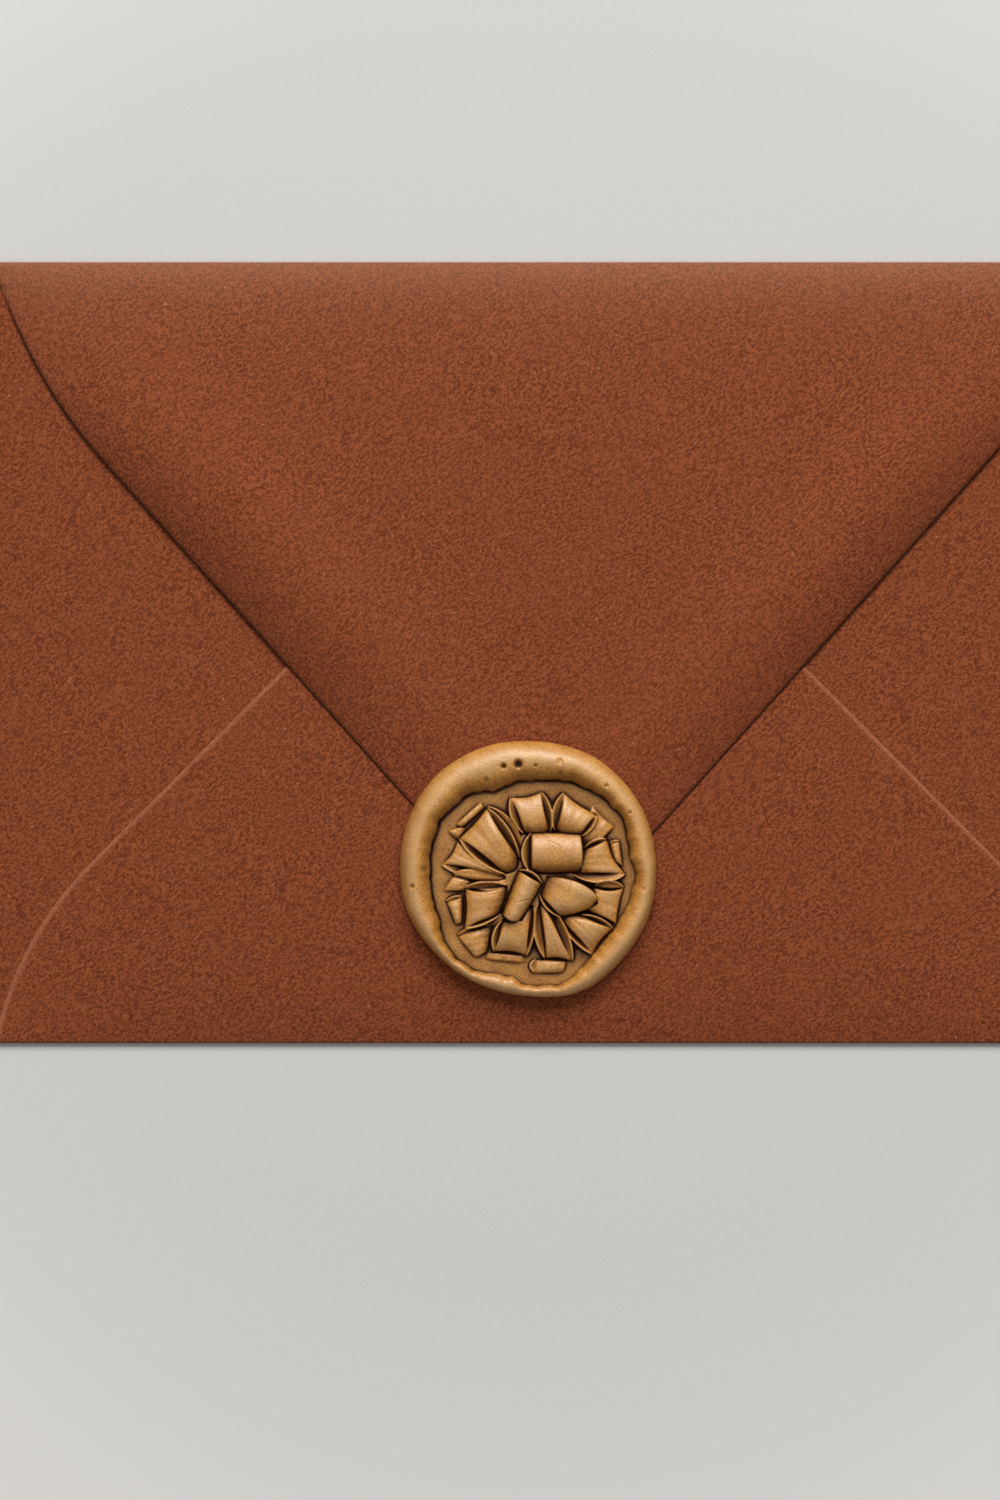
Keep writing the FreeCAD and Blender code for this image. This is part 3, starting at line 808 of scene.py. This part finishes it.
def lay_band(corners, crest, root, end, bows=(0.0, 0.0, 0.0, 0.0), creases=1.0):
    """
    The arched band of a loop. Its corners are root left, root right, end right and end
    left, seen outwards; bows push out its root, its end, its left and its right side,
    as parts of its size. Its height goes from root to crest to end, with fine creases.
    """
    a, b, c, d = corners
    place = part_with([a, b, c, d], 1.6)
    x, y = map_x[place], map_y[place]
    # u along the loop and v across it, from p = a + u * e + v * f + u * v * g.
    e, f, g = d - a, b - a, a - b + c - d
    hx, hy = x - a[0], y - a[1]
    k2 = g[0] * f[1] - g[1] * f[0]
    k1 = e[0] * f[1] - e[1] * f[0] + hx * g[1] - hy * g[0]
    k0 = hx * e[1] - hy * e[0]
    square_root = np.sqrt(np.maximum(k1 * k1 - 4 * k0 * k2, 0))
    first = (-k1 + square_root) / (2 * k2)
    second = (-k1 - square_root) / (2 * k2)
    v = np.where(np.abs(first - 0.5) < np.abs(second - 0.5), first, second)
    below_x, below_y = e[0] + g[0] * v, e[1] + g[1] * v
    use_x = np.abs(below_x) > np.abs(below_y)
    u = np.where(use_x, (hx - f[0] * v) / np.where(use_x, below_x, 1),
                 (hy - f[1] * v) / np.where(use_x, 1, below_y))

    root_bow, end_bow, left_bow, right_bow = bows
    u_low, u_high = -root_bow * hump(v), 1 + end_bow * hump(v)
    v_low, v_high = -left_bow * hump(u), 1 + right_bow * hump(u)
    length = (np.hypot(*e) + np.hypot(*(c - b))) / 2
    breadth = np.hypot(*f) * (1 - u) + np.hypot(*(c - d)) * u
    inside = np.minimum(np.minimum(u - u_low, u_high - u) * length,
                        np.minimum(v - v_low, v_high - v) * np.maximum(breadth, 0.3))
    share = smooth(inside, -EDGE_BLUR, EDGE_BLUR)

    w = np.clip((u - u_low) / (u_high - u_low), 0, 1)
    rounded = (1 - (2 * w - 1) ** 2) ** 0.8
    foot = np.where(w < 0.5, root, end)
    top = foot + (crest - foot) * rounded
    sideways = np.clip((v - v_low) / (v_high - v_low), 0, 1) * 2 - 1
    top = top - SIDE_FALL * np.abs(sideways) ** 3
    top = top + 0.035 * creases * np.cos(2 * math.pi * (1.7 * v + 0.5 * u) + 9 * a[0]) * (0.3 + 0.7 * w)
    top = top + 0.02 * creases * np.cos(2 * math.pi * (4.1 * v - 0.6 * u) + 5 * a[1])
    top = top - EDGE_FALL * np.exp(-(inside / 0.12) ** 2)
    # Painted shade towards the root, where the band tucks in.
    lay(place, share, top, ROOT_SHADE * (1 - w) ** 1.6)


def lay_loop(corners, crest, root, end, left=0.0, right=0.0, **more):
    """
    A band with the openings at its sides, which bulge by left and right mm. Corners
    are x, y, x, y and so on, in the order of lay_band.
    """
    corners = np.reshape(corners, (4, 2))
    root_left, root_right, end_right, end_left = corners
    if left:
        lay_lens(root_left, end_left, -0.25, left, 0.3 * crest, 0.72 * crest)
    if right:
        lay_lens(root_right, end_right, 0.25, -right, 0.3 * crest, 0.72 * crest)
    lay_band(corners, crest, root, end, **more)


# %% [markdown]
# ## The loops of the bow
# The middle of the print is raised first, because the ribbon is thickest there.
# Then come the ends that lie under the others, the ring of main loops, and last
# the three loops of the heart. A few fine cracks run across the heart.

# %% Lay the loops
UNDER = dict(crest=1.0, root=0.45, end=0.25, bows=(0, -0.06, -0.04, -0.04))
MAIN = dict(crest=1.85, root=0.55, end=0.45, bows=(0.1, -0.07, -0.04, -0.04))
HEART = dict(crest=2.6, root=0.9, end=1.1)
relief = 0.95 * (1 - smooth(np.hypot(map_x + 0.3, map_y + 0.3), 6.0, 9.6))
painted_tuck_shade = np.zeros_like(relief)

lay_loop([-10.3, 8.0, -7.0, 11.0, -7.7, 11.8, -11.2, 8.6], 0.75, 0.4, 0.4)
lay_loop([-11.0, 6.2, -9.6, 8.0, -10.6, 8.2, -12.4, 7.6], 0.55, 0.4, 0.3)
lay_loop([5.8, 6.0, 8.3, 4.4, 11.9, 8.3, 8.5, 11.5], **UNDER)
lay_loop([10.9, 5.9, 11.6, 3.1, 13.0, 2.4, 12.5, 6.2], **UNDER, left=0.3)
lay_loop([-8.6, -1.0, -9.0, 0.6, -11.6, 1.1, -13.1, -1.1], 0.7, 0.3, 0.35, right=0.5)
lay_loop([-10.3, -5.9, -10.2, -1.8, -12.7, -2.6, -11.3, -6.0], **UNDER, right=0.45)
lay_loop([-6.7, -9.9, -5.9, -6.0, -11.1, -7.5, -8.4, -10.8], 0.85, 0.4, 0.35, right=0.7)
lay_loop([-1.3, -10.4, -6.7, -9.9, -7.1, -11.0, -1.1, -11.6], 0.5, 0.35, 0.25)
lay_loop([4.8, -11.2, 0.4, -10.9, 0.2, -13.0, 4.4, -12.9], 0.85, 0.35, 0.35, right=0.9)
lay_loop([-1.3, 7.2, 2.4, 7.3, 1.1, 13.3, -3.3, 12.5], **MAIN, left=1.1, right=1.0)
lay_loop([3.1, 7.5, 6.7, 6.8, 9.2, 10.0, 4.4, 13.2], **MAIN, left=1.1, right=0.7)
lay_loop([7.1, 4.9, 5.6, 1.5, 13.3, 1.4, 10.6, 6.5], **MAIN, left=0.7, right=1.4)
lay_loop([8.7, -0.4, 7.6, -3.9, 12.0, -5.9, 13.1, -0.5], 1.5, 0.65, 0.45, left=1.1,
         bows=(0.1, -0.05, -0.12, -0.04))
lay_loop([6.7, -4.5, 4.0, -5.3, 8.6, -10.3, 11.6, -6.5], **MAIN, left=0.8, right=0.8)
lay_loop([1.5, -2.5, 0.8, -2.6, 1.7, -10.9, 5.7, -11.3], 1.75, 0.7, 0.5, left=1.3, right=1.3,
         bows=(0, -0.04, -0.05, -0.1))
lay_loop([0.0, -3.2, -4.5, -5.3, -5.7, -9.9, -1.0, -10.6], **MAIN, left=0.7, right=0.9)
lay_loop([-4.6, -4.3, -3.8, -0.3, -10.0, -0.6, -10.0, -6.5], 1.75, 0.7, 0.5, left=0.6, right=0.9,
         bows=(0.05, -0.05, -0.04, -0.13))
lay_lens((-4.1, 0.9), (-13.3, 2.7), -0.3, 1.1, 0.25, 0.5)
lay_lens((-11.7, 1.5), (-4.0, 0.7), -0.65, 1.25, 0.35, 0.35, swell=0.75)
lay_loop([-4.1, 0.9, -4.9, 1.7, -11.0, 6.2, -13.3, 2.7], 1.55, 0.6, 0.45, bows=(0.05, -0.05, -0.16, -0.06))
lay_lens((-2.0, 3.4), (-6.6, 11.2), 1.3, -2.1, 0.15, 0.8)
lay_loop([-4.0, 1.4, -2.0, 3.6, -6.7, 11.0, -10.8, 6.6], 2.1, 0.75, 0.5, left=1.0, right=1.1,
         bows=(0.08, -0.03, -0.05, -0.05))
lay_loop([2.0, 1.1, 0.9, -1.5, 4.0, -4.8, 9.2, -2.9], 2.5, 0.9, 0.9, right=0.8,
         bows=(0, 0.06, 0.42, 0), creases=0.2)
lay_loop([-0.3, 1.5, 6.8, 1.7, 6.7, 7.3, -0.3, 7.4], **HEART, left=1.5, bows=(0.03, 0, 0, 0.05))
lay_loop([-2.2, 2.0, -4.6, -4.2, -1.7, -5.3, 1.3, -0.1], 2.9, 1.1, 0.9, left=0.9, bows=(0, 0, 0, 0.09))
print("relief rises", round(float(relief.max()), 2), "mm over the print")

# %% Fine cracks
CRACK_WIDTH = 0.09


def crack(points, depth=0.12):
    """A fine crack through these points: depth * exp(-(distance / width)^2)."""
    for start, end in zip(points, points[1:]):
        start, end = np.array(start), np.array(end)
        place = part_with([start, end], 0.4)
        x, y = map_x[place] - start[0], map_y[place] - start[1]
        along = end - start
        t = np.clip((x * along[0] + y * along[1]) / (along @ along), 0, 1)
        distance = np.hypot(x - t * along[0], y - t * along[1])
        relief[place] -= depth * np.exp(-(distance / CRACK_WIDTH) ** 2)


crack([(-4.2, -2.6), (-3.1, -2.1), (-2.8, -2.7), (-1.0, -2.3), (0.0, -2.2)])
crack([(1.4, 7.3), (2.3, 6.2), (3.6, 5.6), (3.8, 4.9)], depth=0.06)
crack([(4.6, 1.2), (5.3, 0.1), (5.1, -1.3)], depth=0.08)
print("cracks cut, deepest place", round(float(relief.min()), 2), "mm")

# %% [markdown]
# ## Patina, painted shade and painted highlights on the gold
# The high places get a painted highlight, and the hollows are brown from patina and painted shade.
# A place counts as hollow when it is lower than the average round it, and as a
# ridge when it is higher, so the height map is compared with blurred copies of
# itself. The wall of the rim counts too, and it is highest at the upper left.

# %% Rim in the map, blur and hollows
# Direction of the upper left, in radians round from +X.
HIGH_SIDE = 2.1
map_angle = np.arctan2(map_y, map_x)
map_radius = np.hypot(map_x, map_y)
to_wall = map_radius - radius_at(PRINT_EDGE, map_angle, EDGE_WAVE)
wall = (1.15 + 0.6 * np.cos(map_angle - HIGH_SIDE)) * np.clip(to_wall * 1.3, 0, 1)
with_wall = np.where(to_wall > -0.05, np.maximum(relief, wall), relief)


def blurred(field, width_mm):
    """Gaussian blur by way of the field's frequencies."""
    across = np.fft.fftfreq(field.shape[1], CELL)[None, :]
    down = np.fft.fftfreq(field.shape[0], CELL)[:, None]
    keep = np.exp(-2 * (math.pi * width_mm) ** 2 * (across ** 2 + down ** 2))
    return np.fft.ifft2(np.fft.fft2(field) * keep).real


# Patina and painted shade: fine, middle and wide hollows, the painted shade where loops
# tuck in, and a little darker on the bare floor. Ridges get a painted highlight.
hollow = (3.1 * np.clip(blurred(with_wall, 0.12) - with_wall, 0, None)
          + 1.5 * np.clip(blurred(with_wall, 0.32) - with_wall, 0, None)
          + 0.7 * np.clip(blurred(with_wall, 1.0) - with_wall, 0, None)
          + painted_tuck_shade + 0.08 * (1 - smooth(relief, 0.1, 0.5)))
# Painted highlight: places higher than the average round them are painted pale.
painted_ridge_highlight = np.clip(with_wall - blurred(with_wall, 1.2), 0, 0.5)
hollow = np.clip(blurred(hollow - painted_ridge_highlight, 0.05), -1, 1)
relief = blurred(relief, 0.045)
print("hollows cover", round(float((hollow > 0.3).mean()), 3), "of the map")


def on_map(field, x, y):
    """Read the map between its cells."""
    column = np.clip((x + REACH) / CELL, 0, len(ticks) - 1.001)
    row = np.clip((y + REACH) / CELL, 0, len(ticks) - 1.001)
    j, i = column.astype(int), row.astype(int)
    right, up = column - j, row - i
    low = field[i, j] * (1 - right) + field[i, j + 1] * right
    high = field[i + 1, j] * (1 - right) + field[i + 1, j + 1] * right
    return low * (1 - up) + high * up


# %% [markdown]
# ## Wax material
# Gold-pigmented wax shines softly, somewhere between a plastic and a metal. One
# painted number runs from -1 on the ridges, which get a painted highlight, to 1 in
# the hollows, which are dark brown from patina and painted shade, more metallic and
# have no clear skin. Faint clouds of pigment break up the gold, with a fine grain
# that the light picks out.

# %% Gold wax


def gold_wax():
    """Satin gold, with a painted highlight on the ridges and patina and painted shade in the hollows."""
    finish = Finish("gold_wax")
    place = finish.place()
    clouds = finish.noise(place, 2.4, 3.0, 0.55)
    grain = finish.noise(place, 0.28, 2.0, 0.6)
    tone = finish.mix(clouds.ramp(0.3, 0.7), rgb(192, 126, 44), rgb(212, 148, 62))
    tone = finish.mix(grain.ramp(0.42, 0.68) * 0.6, tone, rgb(128, 72, 20))
    hollows = finish.tint("hollow")
    # Painted highlight on the ridges.
    tone = finish.mix((hollows * -1.0).clamped(), tone, rgb(224, 184, 132))
    # Hollows: brown patina and painted shade.
    tone = finish.mix((hollows * 1.35).clamped(), tone, rgb(56, 25, 5))
    deep = hollows.clamped()
    skin = (1 - hollows).clamped()
    normal = finish.bump(grain, 0.09, 0.7)
    normal = finish.bump(clouds, 0.20, 0.35, normal)
    finish.set(Base_Color=tone, Roughness=deep * 0.2 + 0.42, Metallic=deep * 0.9,
               Coat_Weight=skin * 0.25, Normal=normal)
    finish.set(Specular_IOR_Level=0.65, Coat_Roughness=0.42)
    return finish.made


wax_finish = gold_wax()

# %% [markdown]
# ## The pressed face and the rim
# The face is a round grid that takes its height from the map and dips under the
# rim. The rim is a closed ring: its inner side rounds up from the face, and its
# outer side bulges over the paper and tucks in below. Air bubbles left pits in it.

# %% The face
# Points along a side of the grid, how far the face runs on under the rim, and the
# height of the wax's underside over its bed.
FACE_STEPS = 300
UNDER_RIM, UNDERSIDE = 0.7, 0.2


def wax_face():
    """A square grid bent to the round print, with its skirt and its flat underside."""
    side = np.linspace(-1, 1, FACE_STEPS)
    u, v = np.meshgrid(side, side)
    x, y = u * np.sqrt(1 - v * v / 2), v * np.sqrt(1 - u * u / 2)
    angle, share = np.arctan2(y, x), np.hypot(x, y)
    radius = radius_at(PRINT_EDGE, angle) + UNDER_RIM
    x, y = share * radius * np.cos(angle), share * radius * np.sin(angle)
    under_rim = smooth(share * radius - radius + UNDER_RIM, -0.05, 0.5)
    lumps = 0.05 * np.sin(x / 1.3 + 1) * np.sin(y / 1.1 + 2) + 0.03 * np.sin((x + y) / 0.7)
    up = bed(y + STAMP[1]) + PRINT_FLOOR + on_map(relief, x, y) + lumps - 0.5 * under_rim
    count = FACE_STEPS * FACE_STEPS
    top = np.stack([x + STAMP[0], y + STAMP[1], up], axis=-1).reshape(-1, 3)
    ring = border(FACE_STEPS, FACE_STEPS)
    low = top[ring].copy()
    low[:, 2] = bed(low[:, 1]) + UNDERSIDE
    skirt = np.arange(len(ring)) + count
    sides = np.stack([ring, skirt, np.roll(skirt, -1), np.roll(ring, -1)], axis=-1)
    middle = np.array([[STAMP[0], STAMP[1], bed(STAMP[1]) + UNDERSIDE]])
    points = np.concatenate([top, low, middle])
    upper = grid_faces(FACE_STEPS, FACE_STEPS)[:, ::-1]
    lower = fan_faces(skirt, count + len(ring), flip=True)
    # Patina, painted shade and painted highlights read from the map; the hidden underside counts as
    # hollow.
    dark = np.concatenate([on_map(hollow, x, y).ravel(), np.ones(len(ring) + 1)])
    piece = make_piece("wax_face", points, [upper, sides, lower], wax_finish, {"hollow": dark})
    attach(piece, "root")
    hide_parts("wax_seal")


wax_face()

# %% The rim
# Sections round the rim; points of a section up from the print, over to the waist
# and in below it, by a turn in radians; and its last points, which stay even.
RIM_STEPS = 720
RIM_UP, RIM_OVER, RIM_BELOW = 30, 26, 9
BELOW_TURN = 0.8
TUCKED_IN = 5
# Bubbles as x, y, radius and depth, in mm from the middle of the pool.
PITS = (
    (-3.5, 15.1, 0.42, 0.5), (-1.4, 15.4, 0.62, 0.6), (1.1, 15.2, 0.22, 0.3), (4.6, 15.8, 0.5, 0.2),
    (4.6, 14.1, 0.3, 0.12), (-6.0, 13.1, 0.4, 0.15), (11.3, 12.3, 0.32, 0.25), (14.7, 8.4, 0.28, 0.2),
    (-16.7, -2.3, 0.35, 0.3), (-15.1, 0.3, 0.6, 0.1), (16.7, -2.7, 0.4, 0.12),
)


def wax_rim():
    """
    A ring of sections. Each is a parabola up from the print to the crest, about a
    quarter of an ellipse over to the waist, and a short turn in below it.
    """
    angle = (np.arange(RIM_STEPS) / RIM_STEPS * 2 * math.pi)[:, None]
    inner = radius_at(PRINT_EDGE, angle, EDGE_WAVE)
    inner_x, inner_y = STAMP[0] + inner * np.cos(angle), STAMP[1] + inner * np.sin(angle)
    # The outer end of a section lies straight out from the inner end, on the pool's edge.
    outer_angle = np.arctan2(inner_y - POUR[1], inner_x - POUR[0])
    outer = radius_at(POOL_EDGE, outer_angle)
    outer_x, outer_y = POUR[0] + outer * np.cos(outer_angle), POUR[1] + outer * np.sin(outer_angle)
    width = np.hypot(outer_x - inner_x, outer_y - inner_y)

    crest = bed(outer_y) + CREST - 0.7 * (1 - smooth(width, 1.2, 4.6))
    crest = crest + 0.08 * np.sin(5 * angle + 1.0) + 0.05 * np.sin(11 * angle)
    inner_part = 0.46 + 0.06 * smooth(width, 1.5, 5.0) + 0.04 * np.sin(3 * angle + 2.0)
    foot = paper_below(outer_x, outer_y)
    waist = foot + 0.30 * (crest - foot)

    up_turn = np.linspace(0, math.pi / 2, RIM_UP)
    over_turn = np.linspace(0, math.pi / 2, RIM_OVER)[1:]
    below_turn = np.linspace(0, BELOW_TURN, RIM_BELOW)[1:]
    # The first point of a section is sunk into the face, so that no gap shows there.
    sunk = up_turn < 0.01
    share = 1 - np.cos(up_turn)
    start = bed(inner_y) + PRINT_FLOOR - 0.15
    up_across = width * inner_part * share - 0.25 * sunk
    up_height = start + (crest - start) * (1 - (1 - share) ** 2) - 0.4 * sunk
    over_across = width * inner_part + width * (1 - inner_part) * np.sin(over_turn)
    over_height = waist + (crest - waist) * np.cos(over_turn) ** 1.3
    below_across = width - 0.9 * np.minimum(width, 3.0) * (1 - np.cos(below_turn))
    below_height = waist - (waist - foot + 0.1) * np.sin(below_turn) / math.sin(BELOW_TURN)
    # One more point, under the first, closes the section along its underside.
    closing = up_across[:, :1] + 0.3
    across = np.concatenate([up_across, over_across, below_across, closing], axis=1)
    up = np.concatenate([up_height, over_height, below_height, foot - 0.05], axis=1)
    x = inner_x + across * (outer_x - inner_x) / width
    y = inner_y + across * (outer_y - inner_y) / width

    # The roll isn't perfectly even, and some bubbles opened on it.
    rows, columns = x.shape
    top_side = np.arange(columns) < columns - TUCKED_IN
    up = up + top_side * 0.035 * (np.sin(x / 1.9 + 1) * np.sin(y / 1.5) + 0.6 * np.sin((x - y) / 0.9))
    # Painted shade lies in the groove along the print, most at the high side, where the
    # inner side faces away from the light, and fades up the inner side. The top of the
    # roll gets a painted highlight, and the pits are painted darker.
    inner_side = np.arange(columns) < RIM_UP
    outwards = np.maximum(across, 0)
    groove = 0.85 * np.exp(-(outwards / 0.2) ** 2) + 0.42 * np.exp(-outwards / 1.3)
    shaded = 0.6 + 0.4 * np.cos(angle - HIGH_SIDE)
    dark = inner_side * shaded * groove - 0.42 * np.exp(-((across / width - 0.62) / 0.26) ** 2)
    for pit_x, pit_y, radius, depth in PITS:
        distance = np.hypot(x - POUR[0] - pit_x, y - POUR[1] - pit_y)
        shape = np.exp(-(distance / radius) ** 4) * top_side
        up = up - depth * shape
        dark = dark + min(1.0, 2.2 * depth) * shape
    points = np.stack([x, y, up], axis=-1)
    faces = grid_faces(rows, columns, wrap=True)
    first_row = np.arange(columns)
    last_row = first_row + (rows - 1) * columns
    seam = np.stack([last_row, first_row, np.roll(first_row, -1), np.roll(last_row, -1)], axis=-1)
    piece = make_piece("wax_rim", points, [faces, seam], wax_finish, {"hollow": np.clip(dark, -1, 1)})
    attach(piece, "root")
    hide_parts("wax_seal")


wax_rim()

# %% [markdown]
# ## The table
# A plain pale floor under the envelope, which fills the picture from above. Its colour
# carries painted light: lighter away from the envelope, darker round it.

# %% Floor
# Half of the floor's side, and how far it lies below the paper, in mm.
FLOOR_HALF, FLOOR_DROP = 1000.0, 0.02


def floor_plane():
    """A square plane: pale grey, with painted light that makes it a little lighter away from the envelope.
    """
    finish = Finish("pale_table")
    place = finish.place()
    away = finish.node("ShaderNodeVectorMath", {"operation": "LENGTH"}, [place], output="Value")
    tooth = finish.noise(place, 0.5, 2.0, 0.6)
    tone = finish.mix(tooth.ramp(0.3, 0.7), rgb(203, 202, 198), rgb(207, 206, 202))
    # Painted light: lighter away from the envelope, darker round it.
    tone = finish.mix(away.ramp(0.085, 0.16), tone, rgb(224, 221, 217))
    finish.set(Base_Color=tone, Roughness=0.9, Specular_IOR_Level=0.2)
    points = FLOOR_HALF * np.array([(-1, -1, 0), (1, -1, 0), (1, 1, 0), (-1, 1, 0)])
    floor = make_piece("floor", points, [np.array([[0, 1, 2, 3]])], finish.made)
    floor.location.z = -FLOOR_DROP * MM


floor_plane()
